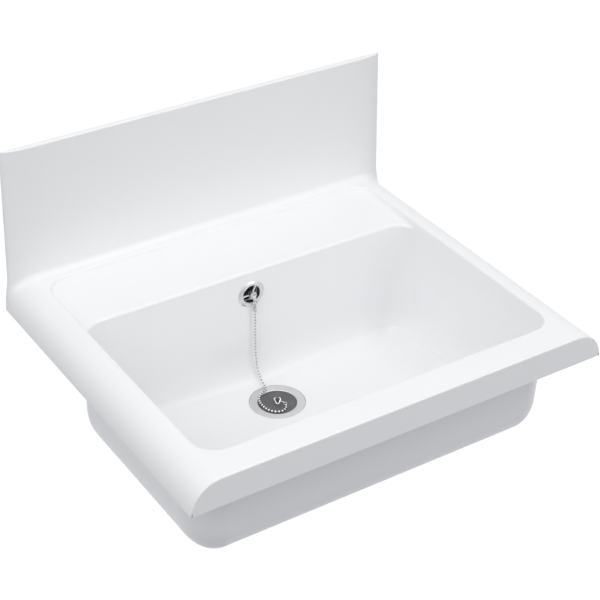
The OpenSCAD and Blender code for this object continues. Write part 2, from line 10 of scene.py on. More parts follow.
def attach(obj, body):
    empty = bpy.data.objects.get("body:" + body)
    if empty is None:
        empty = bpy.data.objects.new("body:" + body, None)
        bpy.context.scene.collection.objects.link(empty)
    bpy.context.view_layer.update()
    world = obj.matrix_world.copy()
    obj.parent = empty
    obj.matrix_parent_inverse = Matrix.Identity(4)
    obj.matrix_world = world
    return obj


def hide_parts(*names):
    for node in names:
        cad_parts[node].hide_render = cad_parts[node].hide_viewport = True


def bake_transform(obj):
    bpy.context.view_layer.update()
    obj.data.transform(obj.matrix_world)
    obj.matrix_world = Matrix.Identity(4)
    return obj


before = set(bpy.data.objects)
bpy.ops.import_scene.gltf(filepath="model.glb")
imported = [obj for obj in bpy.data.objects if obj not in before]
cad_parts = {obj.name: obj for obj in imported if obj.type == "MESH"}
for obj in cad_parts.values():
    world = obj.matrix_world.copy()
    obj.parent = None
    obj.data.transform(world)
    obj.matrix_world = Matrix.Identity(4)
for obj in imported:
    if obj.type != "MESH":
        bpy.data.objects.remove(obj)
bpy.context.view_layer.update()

# ---- Camera: the photograph's view, from the left and above, on a long lens ----------
camera_data = bpy.data.cameras.new("camera")
camera_data.lens = 97.63
camera_data.sensor_width = 36.0
camera = bpy.data.objects.new("camera", camera_data)
bpy.context.scene.collection.objects.link(camera)
camera_place = Vector((-0.88116, -1.5662, 1.05581))
right = Vector((0.839899, -0.542555, 0.014253))
up = Vector((0.28664, 0.465725, 0.83722))
back = Vector((-0.460876, -0.699095, 0.54668))
turned = Matrix((right, up, back)).transposed().to_4x4()
camera.matrix_world = Matrix.Translation(camera_place) @ turned
bpy.context.scene.camera = camera
bpy.context.scene.view_settings.view_transform = "Standard"

# ---- Ball chain: chromed brass, hollow balls crimped on pins, loose on the plug ------
# It hangs from the overflow's clasp to the flange, and lies round on the plug to the
# end coupling. The same balls are in the CAD model, at the same places.
ball_radius = 0.0016
ball_pitch = 0.0045
ball_height = 0.86
pin_radius = 0.0005
pin_share = 0.8
pin_painted_light_share = 0.25
hanging_route = [(2.6, -124.4, -67), (2.6, -124.6, -90), (2.6, -125, -110), (2.6, -126, -130),
                 (2.6, -128.5, -146), (2.6, -133, -156), (2.8, -139, -162), (2.8, -146, -165.2),
                 (2.4, -152, -166.8), (-2, -156, -166.8), (-7.5, -157.4, -166.8)]
lying_route = [(-11.5, -159.8, -166.8), (-14.8, -163, -167.1), (-17.8, -167.1, -167.7),
               (-19.5, -171.6, -167.9), (-20.4, -176.5, -167.9), (-20.6, -181.4, -167.9),
               (-20.2, -186.3, -167.9), (-19.1, -191.1, -167.9), (-16.8, -195.1, -167.9),
               (-13.6, -198.6, -167.9), (-10, -201, -167.9), (-5.8, -202.2, -167.9),
               (-1.4, -201.2, -167.9), (2.4, -198.6, -167.9), (4.6, -194.8, -167.9)]


def deselect():
    if bpy.context.object and bpy.context.object.mode != "OBJECT":
        bpy.ops.object.mode_set(mode="OBJECT")
    bpy.ops.object.select_all(action="DESELECT")


def make_active(obj):
    deselect()
    obj.select_set(True)
    bpy.context.view_layer.objects.active = obj
    return obj


def added(name):
    """The object that a primitive operator has just added, under its own name."""
    obj = bpy.context.object
    obj.name = name
    obj.data.name = name
    return obj


def place_applied(obj):
    make_active(obj)
    bpy.ops.object.transform_apply(location=True, rotation=True, scale=True)
    return obj


def evenly_spaced(route, pitch):
    """Ball centres along a route of straight steps, at the pitch nearest to the one given."""
    points = [Vector(p) / 1000 for p in route]
    lengths = [(b - a).length for a, b in zip(points, points[1:])]
    total = sum(lengths)
    count = max(2, round(total / pitch) + 1)
    spots = []
    for k in range(count):
        s = total * k / (count - 1)
        i = 0
        while i < len(lengths) - 1 and s > lengths[i]:
            s -= lengths[i]
            i += 1
        spots.append(points[i].lerp(points[i + 1], min(s / lengths[i], 1.0)))
    return spots, total


def chain_ball(name):
    """One ball standing on its pin hole, the lips of both holes turned in."""
    deselect()
    bpy.ops.mesh.primitive_uv_sphere_add(segments=20, ring_count=12, radius=ball_radius)
    ball = added(name)
    bpy.ops.object.mode_set(mode="EDIT")
    bpy.ops.mesh.select_all(action="DESELECT")
    bpy.ops.object.mode_set(mode="OBJECT")
    for v in ball.data.vertices:
        v.select = abs(v.co.z) > ball_radius * 0.999
    bpy.ops.object.mode_set(mode="EDIT")
    bpy.ops.transform.resize(value=(1, 1, ball_height))
    bpy.ops.object.mode_set(mode="OBJECT")
    bpy.ops.object.shade_smooth()
    # Painted shade and light: the colour darkens towards the pin holes and is painted bright on the
    # belly
    paint_pin_shade(ball, [1 - smooth((abs(v.co.z) / ball_radius - 0.45) / 0.35)
                        for v in ball.data.vertices])
    return ball


def smooth(f):
    """A soft step from 0 to 1."""
    f = min(1, max(0, f))
    return f * f * (3 - 2 * f)


def paint_pin_shade(obj, shares):
    """Marks each point with its share of painted light for the chrome's colour; a low share near
    the pin holes is painted shade.
    """
    marked = obj.data.attributes.new("painted_light_share", "FLOAT", "POINT")
    for item, share in zip(marked.data, shares):
        item.value = share


def ball_chain(name, spots):
    pattern = chain_ball(name + "_ball")
    copies = []
    for k, spot in enumerate(spots):
        ahead = spots[min(k + 1, len(spots) - 1)] - spots[max(min(k, len(spots) - 2), 0)]
        ahead = ahead if ahead.length > 1e-6 else spots[k] - spots[k - 1]
        turned = Matrix.Translation(spot) @ ahead.to_track_quat("Z", "Y").to_matrix().to_4x4()
        ball = pattern.copy()
        ball.data = pattern.data.copy()
        ball.data.transform(turned)
        bpy.context.scene.collection.objects.link(ball)
        copies.append(ball)
        if k < len(spots) - 1:
            gap = spots[k + 1] - spot
            deselect()
            bpy.ops.mesh.primitive_cylinder_add(vertices=10, radius=pin_radius,
                                                depth=gap.length * pin_share,
                                                end_fill_type="NGON")
            pin = added(name + "_pin")
            bpy.ops.object.shade_smooth()
            # The pins get a low share of painted light, so they are painted dark, as shade between
            # the balls
            paint_pin_shade(pin, [pin_painted_light_share] * len(pin.data.vertices))
            pin.data.transform(Matrix.Translation(spot.lerp(spots[k + 1], 0.5))
                               @ gap.to_track_quat("Z", "Y").to_matrix().to_4x4())
            copies.append(pin)
    bpy.data.objects.remove(pattern)
    deselect()
    for ball in copies:
        ball.select_set(True)
    bpy.context.view_layer.objects.active = copies[0]
    bpy.ops.object.join()
    return added(name)


def new_finish(name):
    """A material with its nodes, its links and its Principled shader."""
    made = bpy.data.materials.new(name)
    made.use_nodes = True
    tree = made.node_tree
    return made, tree.nodes, tree.links, tree.nodes["Principled BSDF"]


def new_group(name, values, results):
    """A shader node group with named number inputs and outputs."""
    group = bpy.data.node_groups.new(name, "ShaderNodeTree")
    for label, value in values:
        socket = group.interface.new_socket(label, in_out="INPUT", socket_type="NodeSocketFloat")
        socket.default_value = value
    for label in results:
        group.interface.new_socket(label, in_out="OUTPUT", socket_type="NodeSocketFloat")
    tree = group.nodes
    return group, tree, group.links, tree.new("NodeGroupInput"), tree.new("NodeGroupOutput")


def placed_group(nodes, group, **values):
    """The group as one node of a material, with this material's own values."""
    node = nodes.new("ShaderNodeGroup")
    node.node_tree = group
    for label, value in values.items():
        node.inputs[label.replace("_", " ").capitalize()].default_value = value
    return node


def noise(nodes, links, place, scale, detail=2.0, rough=0.5):
    made = nodes.new("ShaderNodeTexNoise")
    made.inputs["Scale"].default_value = scale
    made.inputs["Detail"].default_value = detail
    made.inputs["Roughness"].default_value = rough
    links.new(place, made.inputs["Vector"])
    return made


def shaded_between(nodes, links, mask, dark, light, socket):
    """Base colour that runs from one shade to another where the mask goes from 0 to 1."""
    mix = nodes.new("ShaderNodeMix")
    mix.data_type = "RGBA"
    mix.inputs["A"].default_value = (*dark, 1)
    mix.inputs["B"].default_value = (*light, 1)
    links.new(mask, mix.inputs["Factor"])
    links.new(mix.outputs["Result"], socket)
    return mix


def ranged(nodes, links, mask, low, high, socket):
    """A value that runs from low to high where the mask goes from 0 to 1."""
    step = nodes.new("ShaderNodeMapRange")
    step.inputs["To Min"].default_value = low
    step.inputs["To Max"].default_value = high
    links.new(mask, step.inputs["Value"])
    links.new(step.outputs["Result"], socket)


def raised(nodes, links, height, strength, distance, socket):
    """Fine relief: a height of 1 stands up by the distance, in metres."""
    bump = nodes.new("ShaderNodeBump")
    bump.inputs["Strength"].default_value = strength
    bump.inputs["Distance"].default_value = distance
    links.new(height, bump.inputs["Height"])
    links.new(bump.outputs["Normal"], socket)


# Handling marks on a polished metal: cloudy smears, with hairline scratches across them
handling, nodes, links, given, out = new_group(
    "handling_marks", [("Smear scale", 60.0), ("Scratch scale", 900.0)], ["Smears", "Scratches"])
place = nodes.new("ShaderNodeTexCoord").outputs["Object"]
smears = noise(nodes, links, place, 60.0, 4.0, 0.6)
links.new(given.outputs["Smear scale"], smears.inputs["Scale"])
links.new(smears.outputs["Fac"], out.inputs["Smears"])
stretch = nodes.new("ShaderNodeMapping")
stretch.inputs["Rotation"].default_value = (0.4, 0.3, 0.6)
stretch.inputs["Scale"].default_value = (1.0, 0.06, 1.0)
links.new(place, stretch.inputs["Vector"])
scratches = noise(nodes, links, stretch.outputs["Vector"], 900.0, 1.0, 0.4)
links.new(given.outputs["Scratch scale"], scratches.inputs["Scale"])
links.new(scratches.outputs["Fac"], out.inputs["Scratches"])

# Chrome on the balls, with painted shade where each ball turns in round its pin and on the pins,
# and a painted highlight on the belly
chain_chrome, nodes, links, surface = new_finish("chain_chrome")
surface.inputs["Metallic"].default_value = 1.0
painted_light_share = nodes.new("ShaderNodeAttribute")
painted_light_share.attribute_name = "painted_light_share"
shaded_between(nodes, links, painted_light_share.outputs["Fac"], (0.26, 0.26, 0.265), (0.84, 0.84, 0.85),
               surface.inputs["Base Color"])
marks = placed_group(nodes, handling, smear_scale=240.0, scratch_scale=2400.0)
ranged(nodes, links, marks.outputs["Smears"], 0.08, 0.24, surface.inputs["Roughness"])

hanging_spots, hanging_length = evenly_spaced(hanging_route, ball_pitch)
hanging_chain = ball_chain("ball_chain", hanging_spots)
hanging_chain.data.materials.append(chain_chrome)
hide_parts("chain_hanging")
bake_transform(hanging_chain)

lying_spots, lying_length = evenly_spaced(lying_route, ball_pitch)
lying_chain = ball_chain("ball_chain_on_plug", lying_spots)
lying_chain.data.materials.append(chain_chrome)
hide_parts("chain_on_plug", "chain_tail")
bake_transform(lying_chain)

# ---- Studio: a floor below the sink, a soft dome of light and four large lamps --------
# Camera, mirror and glass rays see a white backdrop, in which the floor keeps the shadow.
# The dome is dimmer near the ground, and the floor is open to a look from below.
world = bpy.data.worlds.new("studio")
bpy.context.scene.world = world
world.use_nodes = True
nodes, links = world.node_tree.nodes, world.node_tree.links
nodes.clear()


def seen_rays(nodes, links):
    """1 for the rays that look at the backdrop: from the camera, off metal and through glass."""
    path = nodes.new("ShaderNodeLightPath")
    seen = path.outputs["Is Camera Ray"]
    for kind in ("Is Glossy Ray", "Is Transmission Ray"):
        either = nodes.new("ShaderNodeMath")
        either.operation = "MAXIMUM"
        links.new(seen, either.inputs[0])
        links.new(path.outputs[kind], either.inputs[1])
        seen = either.outputs[0]
    return seen


dome_strength = 0.575
dome_low_share = 0.4
dome = nodes.new("ShaderNodeBackground")
dome.inputs["Color"].default_value = (1, 1, 1, 1)
split = nodes.new("ShaderNodeSeparateXYZ")
links.new(nodes.new("ShaderNodeTexCoord").outputs["Generated"], split.inputs[0])
height = nodes.new("ShaderNodeMapRange")
height.inputs["From Min"].default_value = -0.1
height.inputs["From Max"].default_value = 0.25
height.inputs["To Min"].default_value = dome_strength * dome_low_share
height.inputs["To Max"].default_value = dome_strength
links.new(split.outputs["Z"], height.inputs["Value"])
links.new(height.outputs[0], dome.inputs["Strength"])
backdrop = nodes.new("ShaderNodeBackground")
backdrop.inputs["Color"].default_value = (1, 1, 1, 1)
backdrop.inputs["Strength"].default_value = 1.0
mix = nodes.new("ShaderNodeMixShader")
links.new(seen_rays(nodes, links), mix.inputs["Fac"])
links.new(dome.outputs[0], mix.inputs[1])
links.new(backdrop.outputs[0], mix.inputs[2])
links.new(mix.outputs[0], nodes.new("ShaderNodeOutputWorld").inputs["Surface"])

lamps_aim_at = Vector((0, -0.25, -0.08))
for name, place, size, watts in (
        ("lamp_right", (0.9, -1.3, 1.9), 0.6, 5.0), ("lamp_left", (-1.9, -0.9, 1.9), 2.2, 20.0),
        ("lamp_top", (0, -0.3, 2.6), 2.0, 8.5), ("lamp_front", (1.1, -2.6, 1.1), 2.0, 11.0)):
    lamp_data = bpy.data.lights.new(name, "AREA")
    lamp_data.shape = "DISK"
    lamp_data.size = size
    lamp_data.energy = watts
    lamp = bpy.data.objects.new(name, lamp_data)
    aim = (Vector(place) - lamps_aim_at).to_track_quat("Z", "Y")
    lamp.matrix_world = Matrix.Translation(place) @ aim.to_matrix().to_4x4()
    lamp.visible_camera = False
    bpy.context.scene.collection.objects.link(lamp)

floor_level = -0.62
floor_grey = (0.285, 0.30, 0.33)
floor_glow = 0.83
deselect()
bpy.ops.mesh.primitive_plane_add(size=8, location=(0, 0, floor_level))
floor = added("floor")
floor_paint, nodes, links, surface = new_finish("floor_paint")
surface.inputs["Base Color"].default_value = (*floor_grey, 1)
surface.inputs["Roughness"].default_value = 1.0
surface.inputs["Specular IOR Level"].default_value = 0.0
glow = nodes.new("ShaderNodeEmission")
glow.inputs["Strength"].default_value = floor_glow
lit = nodes.new("ShaderNodeAddShader")
links.new(surface.outputs[0], lit.inputs[0])
links.new(glow.outputs[0], lit.inputs[1])
mix = nodes.new("ShaderNodeMixShader")
links.new(seen_rays(nodes, links), mix.inputs["Fac"])
links.new(surface.outputs[0], mix.inputs[1])
links.new(lit.outputs[0], mix.inputs[2])
open_below = nodes.new("ShaderNodeMixShader")
links.new(nodes.new("ShaderNodeNewGeometry").outputs["Backfacing"], open_below.inputs["Fac"])
links.new(mix.outputs[0], open_below.inputs[1])
links.new(nodes.new("ShaderNodeBsdfTransparent").outputs[0], open_below.inputs[2])
links.new(open_below.outputs[0], nodes["Material Output"].inputs["Surface"])
floor.data.materials.append(floor_paint)

# ---- Cast body: one white moulding with a glossy skin --------------------------------
# The rim and splashback are one section swept across the width, rolled down at both ends.
# The bowl's outside is added to it, and the hollow of bowl and ledge is cut from it.
half_flat = 238.0
roll = 37.0
depth = 452.0
wall = 8.5
front_edge_r = 1.8
splash_top = 176.0
splash_thin, splash_swell = 1.0, 7.5
splash_tip = 1.6
cove_r, cove_growth = 9.0, 10.0
foot_drawn_in, top_drawn_in = 4.3, 5.7
foot_rise, foot_rise_growth = 18, 0.8
splash_climbs = (22, 27, 33, 40, 48, 80, 120)
drain_at = -182.0
seat_r = 35.9
flange_level = -168.6


def lofted(name, rings):
    """A closed skin over rings of points in millimetres: the first ring is a filled circle,
    and it is extruded to each of the others in turn."""
    deselect()
    bpy.ops.mesh.primitive_circle_add(vertices=len(rings[0]), fill_type="NGON")
    skin = added(name)
    for v, spot in zip(skin.data.vertices, rings[0]):
        v.co = Vector(spot) / 1000
    order = {tuple(v.co): i for i, v in enumerate(skin.data.vertices)}
    bpy.ops.object.mode_set(mode="EDIT")
    bpy.ops.mesh.select_all(action="SELECT")
    for ring in rings[1:]:
        bpy.ops.mesh.extrude_region_move()
        bpy.ops.object.mode_set(mode="OBJECT")
        moved = [v for v in skin.data.vertices if v.select]
        places = [order[tuple(v.co)] for v in moved]
        for v, i in zip(moved, places):
            v.co = Vector(ring[i]) / 1000
        order = {tuple(v.co): i for v, i in zip(moved, places)}
        bpy.ops.object.mode_set(mode="EDIT")
    bpy.ops.mesh.select_all(action="SELECT")
    bpy.ops.mesh.remove_doubles(threshold=2e-6)
    bpy.ops.mesh.normals_make_consistent(inside=False)
    bpy.ops.object.mode_set(mode="OBJECT")
    return skin


def combine(obj, other, operation):
    """Adds or cuts another solid, and removes it."""
    make_active(obj)
    change = obj.modifiers.new(operation.lower(), "BOOLEAN")
    change.operation = operation
    change.solver = "EXACT"
    change.object = other
    bpy.ops.object.modifier_apply(modifier=change.name)
    bpy.data.objects.remove(other)
    return obj


def slab(name, low, high):
    deselect()
    size = [(b - a) / 1000 for a, b in zip(low, high)]
    bpy.ops.mesh.primitive_cube_add(size=1, location=[(a + b) / 2000 for a, b in zip(low, high)])
    piece = added(name)
    piece.scale = size
    return place_applied(piece)


def disc(name, centre, r, length, axis="Z", vertices=64):
    deselect()
    turn = {"X": (0, math.pi / 2, 0), "Y": (math.pi / 2, 0, 0), "Z": (0, 0, 0)}[axis]
    bpy.ops.mesh.primitive_cylinder_add(vertices=vertices, radius=r / 1000, depth=length / 1000,
                                        location=[c / 1000 for c in centre], rotation=turn)
    return place_applied(added(name))


def rim_section(x, turn):
    """Section through rim and splashback at one place; turn is how far the edge has rolled."""
    side = 1 if x > 0 else -1
    out_x, out_z = side * math.sin(turn), math.cos(turn)
    foot = cove_r + cove_growth * (1 - math.cos(turn))
    face = -splash_thin - splash_swell * math.cos(turn)
    deck = -roll * (1 - math.cos(turn))
    across = x + side * roll * math.sin(turn)
    tip = min(splash_tip, -face * 0.42)
    back_tip = tip * 0.6

    def below(d, y):
        """A place on the rim, at a depth under its rolled skin."""
        return (x + (roll - d) * out_x, y, -roll + (roll - d) * out_z)

    def leaning(y, z):
        """A place on the splashback: its side edges are drawn in at the foot and upwards."""
        drawn_in = foot_drawn_in * smooth((z - deck) / (foot_rise - foot_rise_growth * deck))
        drawn_in += top_drawn_in * (z - deck) / (splash_top - deck)
        flat = x * (1 - drawn_in / half_flat) if turn == 0 else x - side * drawn_in
        return (flat + side * roll * math.sin(turn), y, z)

    points = [(across, 0, -roll), (across, -depth, -roll)]
    for k in range(6):
        a = math.radians(90 * k / 5)
        points.append(below(front_edge_r * (1 - math.sin(a)),
                            -depth + front_edge_r * (1 - math.cos(a))))
    for k in range(8):
        a = math.radians(90 * k / 7)
        points.append(leaning(face - foot + foot * math.sin(a), deck + foot * (1 - math.cos(a))))
    points += [leaning(face, deck + climb) for climb in splash_climbs]
    for k in range(4):
        a = math.radians(90 * k / 3)
        points.append(leaning(face + tip * (1 - math.cos(a)), splash_top - tip * (1 - math.sin(a))))
    for k in range(3):
        a = math.radians(90 * k / 2)
        points.append(leaning(-back_tip * (1 - math.sin(a)),
                              splash_top - back_tip * (1 - math.cos(a))))
    points += [leaning(0, deck + climb) for climb in splash_climbs[::-1] + (12, 6, 0)]
    return points


turns = [math.radians(a) for a in (7.5, 15, 22.5, 30, 37.5, 45, 52.5, 60, 67.5, 74, 80, 85, 88.5)]
sections = [rim_section(-half_flat, a) for a in reversed(turns)]
sections += [rim_section(x, 0) for x in (-half_flat, -119, 0.001, 119, half_flat)]
sections += [rim_section(half_flat, a) for a in turns]
body = lofted("sink_body_cast", sections)

# The filled ends are made triangles, because the section at each end isn't quite flat
bpy.ops.object.mode_set(mode="EDIT")
bpy.ops.mesh.select_all(action="DESELECT")
bpy.ops.mesh.select_face_by_sides(number=4, type="GREATER")
bpy.ops.mesh.quads_convert_to_tris(ngon_method="BEAUTY")
bpy.ops.object.mode_set(mode="OBJECT")

# The underside is open: the rim, its apron and its rolled edges are one wall thick
inner_roll = roll - wall
hollow_foot = -60
hollow_section = [(-half_flat - inner_roll, hollow_foot), (half_flat + inner_roll, hollow_foot)]
for end, start in ((half_flat, 0), (-half_flat, 90)):
    for k in range(13):
        a = math.radians(start + 90 * k / 12)
        hollow_section.append((end + inner_roll * math.cos(a), -roll + inner_roll * math.sin(a)))
rim_hollow = lofted("rim_hollow", [[(x, y, z) for x, z in hollow_section]
                                   for y in (-depth + wall, -wall)])
combine(body, rim_hollow, "DIFFERENCE")
combine(body, slab("ledge_underside", (-half_flat, -119.5, -16.5), (half_flat, -8.4, -3.5)),
        "UNION")


def bowl_outline(half, front_y, back_y, front_r, back_r):
    """Plan of the bowl at its opening, once round. Each entry has the place, the direction
    outwards, the name of its corner or None, how far it is along that corner or straight
    side, and its share of the ledge, from 0 on the front and sides to 1 along the back."""
    spots = []

    def straight(a, b, count, out, share):
        for k in range(1, count):
            f = k / count
            place = (a[0] + (b[0] - a[0]) * f, a[1] + (b[1] - a[1]) * f)
            spots.append((place, out, None, f, share))

    def corner(cx, cy, r, start, steps, name):
        for k in range(steps + 1):
            a = math.radians(start + 90 * k / steps)
            out = (math.cos(a), math.sin(a))
            share = {"back_right": k / steps, "back_left": 1 - k / steps}.get(name, 0)
            spots.append(((cx + r * out[0], cy + r * out[1]), out, name, k / steps, share))

    fx, fy, bx, by = half - front_r, front_y + front_r, half - back_r, back_y - back_r
    corner(fx, fy, front_r, -90, 12, "front_right")
    straight((half, fy), (half, by), 8, (1, 0), 0)
    corner(bx, by, back_r, 0, 24, "back_right")
    straight((bx, back_y), (-bx, back_y), 12, (0, 1), 1)
    corner(-bx, by, back_r, 90, 24, "back_left")
    straight((-half, by), (-half, fy), 8, (-1, 0), 0)
    corner(-fx, fy, front_r, 180, 12, "front_left")
    straight((-fx, front_y), (fx, front_y), 12, (0, -1), 0)
    return spots


def foot_ring(spots, half, front_y, back_y, front_axes, back_axes, front_z, back_z, t):
    """The same points on the bowl's lower fillets, t running from the walls to the floor."""
    places = {}
    for end, edge_y, sy, axes, z in (("front", front_y, 1, front_axes, front_z),
                                     ("back", back_y, -1, back_axes, back_z)):
        for hand, sx in (("right", 1), ("left", -1)):
            places[f"{end}_{hand}"] = (sx * (half - axes[0]), edge_y + sy * axes[1],
                                       z + axes[2], axes)
    ring = []
    for _, out, name, _, _ in spots:
        if name:
            cx, cy, cz, axes = places[name]
            ring.append((cx + axes[0] * math.cos(t) * out[0], cy + axes[1] * math.cos(t) * out[1],
                         cz - axes[2] * math.sin(t)))
        else:
            ring.append(None)
    at_corner = [i for i, spot in enumerate(spots) if spot[2]]
    for i, place in enumerate(ring):
        if place is None:
            a = ring[max(j for j in at_corner if j < i)]
            b = ring[min((j for j in at_corner if j > i), default=at_corner[0])]
            f = spots[i][3]
            ring[i] = tuple(p + (q - p) * f for p, q in zip(a, b))
    return ring


def along_wall(top, foot, f):
    return [tuple(p + (q - p) * f for p, q in zip(a, b)) for a, b in zip(top, foot)]


# Outside of the bowl, fuller at its lower corners than the hollow
outside = bowl_outline(half=243, front_y=-419.5, back_y=-108, front_r=46, back_r=50)
feet = [foot_ring(outside, half=242.5, front_y=-413, back_y=-110,
                  front_axes=(39, 52, 57), back_axes=(52, 40, 62),
                  front_z=-166, back_z=-173.5, t=math.radians(t))
        for t in (0, 8, 16, 24, 32, 40, 48, 56, 64, 72, 80, 87)]
mouth = [(spot[0], spot[1], -6) for spot, *rest in outside]
combine(body, lofted("bowl_outside", [mouth, along_wall(mouth, feet[0], 0.5)] + feet), "UNION")
combine(body, disc("drain_boss", (0, drain_at, -170), r=44, length=14), "UNION")

# Rear web for the two wall bolts, with a rib to the bowl at each end
bolt_x, bolt_z = 140, -60
combine(body, slab("fixing_web", (-172, -10, -95), (172, -0.01, -5)), "UNION")
for side in (-1, 1):
    combine(body, disc("bolt_boss", (side * bolt_x, -8, bolt_z), r=16, length=16, axis="Y"),
            "UNION")
    rib = slab("web_rib", (side * 168 - 4, -109, -92), (side * 168 + 4, -5, -5))
    # The rib's foot slopes up from the web to the bowl
    for v in rib.data.vertices:
        if v.co.z < -0.05 and v.co.y < -0.05:
            v.co.z = -0.060
    combine(body, rib, "UNION")

# Hollow of bowl and ledge, as one skin: down over the soft edge, at the back over the sunken
# ledge to the bowl's own edge, then the walls, the fillets, and the floor down to the drain
bowl_back = -119.5
side_half = 234.3
corner_r = 28
ledge_back = -23
ledge_run = 126.5
ledge_sunk, ledge_fall = 4.5, 4.5
ledge_nose = 4.0
rim_ease = 3.2
spots = bowl_outline(side_half, front_y=-411.5, back_y=bowl_back,
                     front_r=corner_r, back_r=corner_r)


def ledge_spot(entry):
    """Place on the outline of the ledge that belongs to a place on the bowl's back edge."""
    (x, y), out, name, _, share = entry
    if share == 0:
        return (x, y), out
    side = 1 if x > 0 else -1
    if name is None:
        return (x, ledge_back), (0, 1)
    bowl_corner, ledge_corner = bowl_back - corner_r, ledge_back - corner_r
    if share <= 0.5:
        return ((side * side_half, bowl_corner + (ledge_corner - bowl_corner) * share * 2),
                (side, 0))
    a = math.radians(90 * (share - 0.5) * 2)
    out = (side * math.cos(a), math.sin(a))
    return (side * (side_half - corner_r) + corner_r * out[0],
            ledge_corner + corner_r * out[1]), out


def ledge_level(y):
    return -ledge_sunk - ledge_fall * min(1, max(0, (ledge_back - y) / ledge_run))


# Above the rim, flared, and then down over the soft edge
rings = []
for flare, z in ((6, 3), (4, 1.1)):
    ring = []
    for entry in spots:
        (x, y), out = ledge_spot(entry)
        ring.append((x + out[0] * flare, y + out[1] * flare, z))
    rings.append(ring)
for a in (84, 70, 54, 36, 18, 0):
    ring = []
    for entry in spots:
        (x, y), out = ledge_spot(entry)
        r = rim_ease - 1.0 * smooth(entry[4] * 3)
        off = r * (1 - math.cos(math.radians(a)))
        ring.append((x + out[0] * off, y + out[1] * off, r * (math.sin(math.radians(a)) - 0.97)))
    rings.append(ring)

# The fillet at the ledge's foot, the ledge itself, and its nose over the bowl
for a in (0, 30, 60, 90):
    ring = []
    for entry in spots:
        (x, y), out = ledge_spot(entry)
        r = (-ledge_level(y) - 2.4) * smooth(entry[4] * 3)
        off = r * (1 - math.cos(math.radians(a)))
        ring.append((x - out[0] * off, y - out[1] * off,
                     ledge_level(y) + r * (1 - math.sin(math.radians(a)))))
    rings.append(ring)
ledge_foot = rings[-1]
nose_starts = []
for (x, y), out, _, _, share in spots:
    r = ledge_nose * smooth(share * 3)
    nose_starts.append((x + out[0] * r, y + out[1] * r, ledge_level(y + out[1] * r)))
for f in (0.25, 0.5, 0.75):
    rings.append(along_wall(ledge_foot, nose_starts, f))
for a in (90, 72, 54, 36, 18, 0):
    ring = []
    for (x, y), out, _, _, share in spots:
        r = ledge_nose * smooth(share * 3)
        off = r * (1 - math.cos(math.radians(a)))
        ring.append((x + out[0] * off, y + out[1] * off,
                     ledge_level(y) - r * (1 - math.sin(math.radians(a)))))
    rings.append(ring)

# Walls, fillets and the floor, which rises to the front and is dished round the drain
floor_back, floor_rise = -166.5, 6.5
floor_from, floor_run = -149.5, 208
floor_inner_r = 33
dish_lip, dish_slope, dish_depth = 0.2, 0.0736, 3.5


def dished(place, share=1.0):
    """The floor and its fillets fall towards the drain, down to the dish's depth."""
    x, y, z = place
    cone = flange_level + dish_lip + dish_slope * (math.hypot(x, y - drain_at) - seat_r)
    return (x, y, z - share * min(dish_depth, max(0, z - cone)))


top = rings[-1]
feet = [foot_ring(spots, side_half, front_y=-403.5, back_y=bowl_back,
                  front_axes=(46, 46, 46), back_axes=(46, 30, 44),
                  front_z=floor_back + floor_rise, back_z=floor_back, t=math.radians(t))
        for t in range(0, 86, 5)]
for f in (0.2, 0.4, 0.6, 0.8):
    rings.append(along_wall(top, feet[0], f))
for k, ring in enumerate(feet):
    rings.append([dished(place, smooth(k / 5)) for place in ring])
for f in (0.1, 0.22, 0.36, 0.52, 0.68, 0.84, 1):
    ring = []
    for x, y, z in feet[-1]:
        away = math.hypot(x, y - drain_at)
        r = away + (floor_inner_r - away) * f
        nx, ny = x * r / away, drain_at + (y - drain_at) * r / away
        plane = floor_back + floor_rise * min(1, max(0, (floor_from - ny) / floor_run))
        ring.append(dished((nx, ny, plane)))
    rings.append(ring)
combine(body, lofted("bowl_and_ledge", rings), "DIFFERENCE")

# Seat and hole of the drain, overflow hole and bolt holes
combine(body, disc("drain_seat", (0, drain_at, -166.6), seat_r, length=8), "DIFFERENCE")
combine(body, disc("drain_hole", (0, drain_at, -168), r=27, length=24), "DIFFERENCE")
combine(body, disc("overflow_hole", (0, -113, -41.5), r=13.5, length=20, axis="Y"), "DIFFERENCE")
for side in (-1, 1):
    combine(body, disc("bolt_hole", (side * bolt_x, -8, bolt_z), r=7, length=20, axis="Y"),
            "DIFFERENCE")

make_active(body)
bpy.ops.object.mode_set(mode="EDIT")
bpy.ops.mesh.select_all(action="SELECT")
bpy.ops.mesh.remove_doubles(threshold=1e-6)
bpy.ops.object.mode_set(mode="OBJECT")
bpy.ops.object.shade_smooth_by_angle(angle=math.radians(35))
weigh = body.modifiers.new("normals", "WEIGHTED_NORMAL")
weigh.keep_sharp = True
weigh.weight = 60
bpy.ops.object.modifier_apply(modifier=weigh.name)

# Fine grain of a moulded or cast skin: a slow drift of shade, small grain, and their height
grain_group, nodes, links, given, out = new_group(
    "moulded_skin", [("Drift scale", 12.0), ("Grain scale", 700.0)], ["Drift", "Grain"])
place = nodes.new("ShaderNodeTexCoord").outputs["Object"]
drift = noise(nodes, links, place, 12.0, 3.0, 0.5)
links.new(given.outputs["Drift scale"], drift.inputs["Scale"])
links.new(drift.outputs["Fac"], out.inputs["Drift"])
grain = noise(nodes, links, place, 700.0, 2.0, 0.6)
links.new(given.outputs["Grain scale"], grain.inputs["Scale"])
links.new(grain.outputs["Fac"], out.inputs["Grain"])


def two_masks(nodes, links, first, second, share):
    """The first mask with a share of the second in it."""
    mix = nodes.new("ShaderNodeMix")
    mix.inputs["Factor"].default_value = share
    links.new(first, mix.inputs["A"])
    links.new(second, mix.inputs["B"])
    return mix.outputs["Result"]


